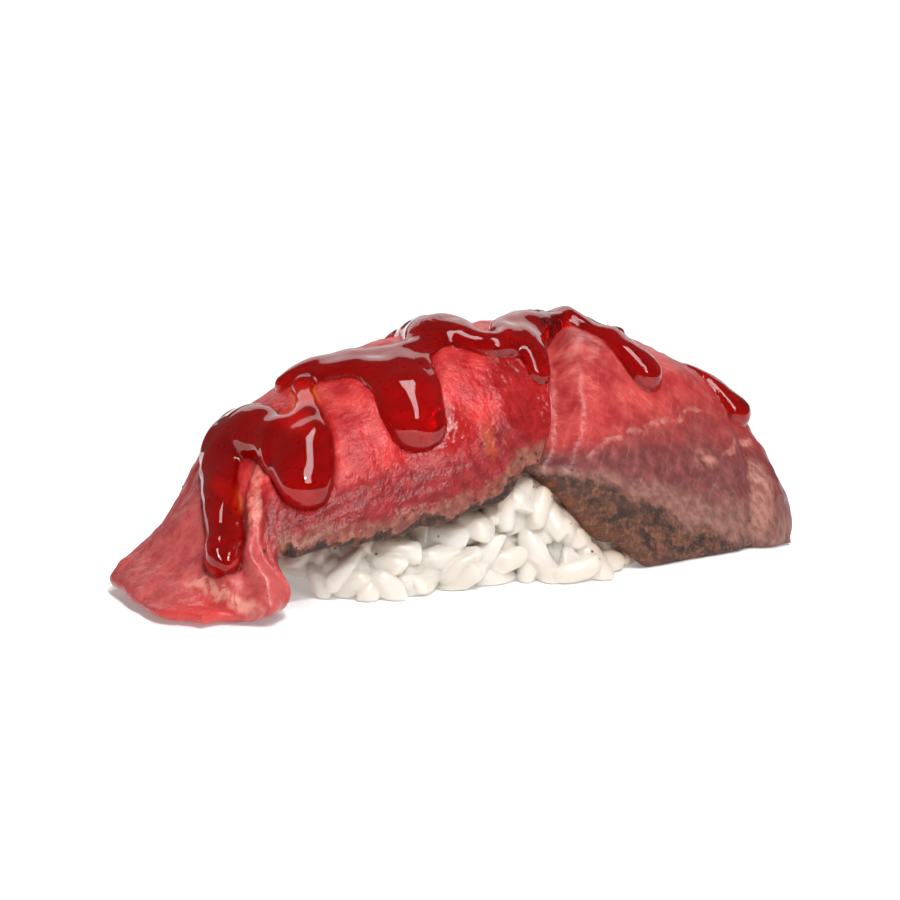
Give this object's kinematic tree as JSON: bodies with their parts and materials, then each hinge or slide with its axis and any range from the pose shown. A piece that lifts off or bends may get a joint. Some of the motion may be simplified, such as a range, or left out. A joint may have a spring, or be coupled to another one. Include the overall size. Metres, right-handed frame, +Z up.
{
  "type": "beef teriyaki nigiri",
  "caption": "Bite of pressed sushi rice with two thin slices of seared beef draped over it, glossy dark red sauce along the top.",
  "frame": {"origin": "middle of the footprint, at the height of the surface that the nigiri lies on", "axes": "+X along the piece towards the end covered by the far slice, -Y towards the side where the rice shows, +Z up"},
  "size_m": [0.0866, 0.0394, 0.0284],
  "materials": {
    "beef_near": "moist seared beef, pink-red with a brown crust at its lower edge",
    "beef_far": "moist seared beef, pink over mauve with a wide dark brown crust",
    "rice": "sticky cooked short-grain rice, warm white and slightly translucent",
    "sauce": "thick glossy deep red teriyaki glaze",
    "pepper": "black pepper and char crumbs"
  },
  "bodies": {
    "root": {"beef_slice_near": "beef_near", "beef_slice_far": "beef_far", "rice_bed": "rice"}
  },
  "joints": []
}
